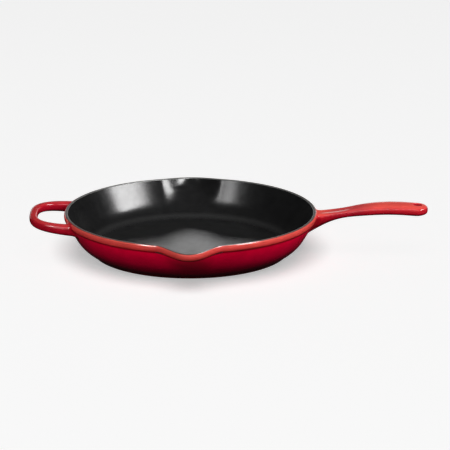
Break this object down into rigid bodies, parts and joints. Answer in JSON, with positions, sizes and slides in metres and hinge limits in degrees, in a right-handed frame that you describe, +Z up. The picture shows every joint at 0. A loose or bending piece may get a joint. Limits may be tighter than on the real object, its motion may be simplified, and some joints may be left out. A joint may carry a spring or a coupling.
{
  "type": "cast iron skillet",
  "caption": "Round shallow enamelled cast iron skillet with a long handle, a loop helper handle and pour spouts at the sides.",
  "frame": {"origin": "centre of the flat underside that the skillet stands on", "axes": "+Z up out of the bowl, +X along the long handle towards its tip, +Y towards one of the two pour spouts"},
  "size_m": [0.4158, 0.2954, 0.0507],
  "materials": {
    "cast_iron": "bare grey casting under the enamel",
    "red_enamel": "glossy fired enamel, deep red at the base shading to orange red at the lip and handles",
    "black_enamel": "satin black fired enamel",
    "rim_enamel": "thin dark grey fired enamel",
    "base_enamel": "glossy enamel, nearly black red"
  },
  "bodies": {
    "root": {"floor_casting": "cast_iron", "wall_casting": "cast_iron", "long_handle_casting": "cast_iron", "helper_handle_casting": "cast_iron", "underside_enamel": "base_enamel", "foot_ring_enamel": "base_enamel", "outer_wall_enamel": "red_enamel", "rim_enamel": "rim_enamel", "cooking_surface_enamel": "black_enamel", "long_handle_enamel": "red_enamel", "helper_handle_enamel": "red_enamel"}
  },
  "joints": []
}
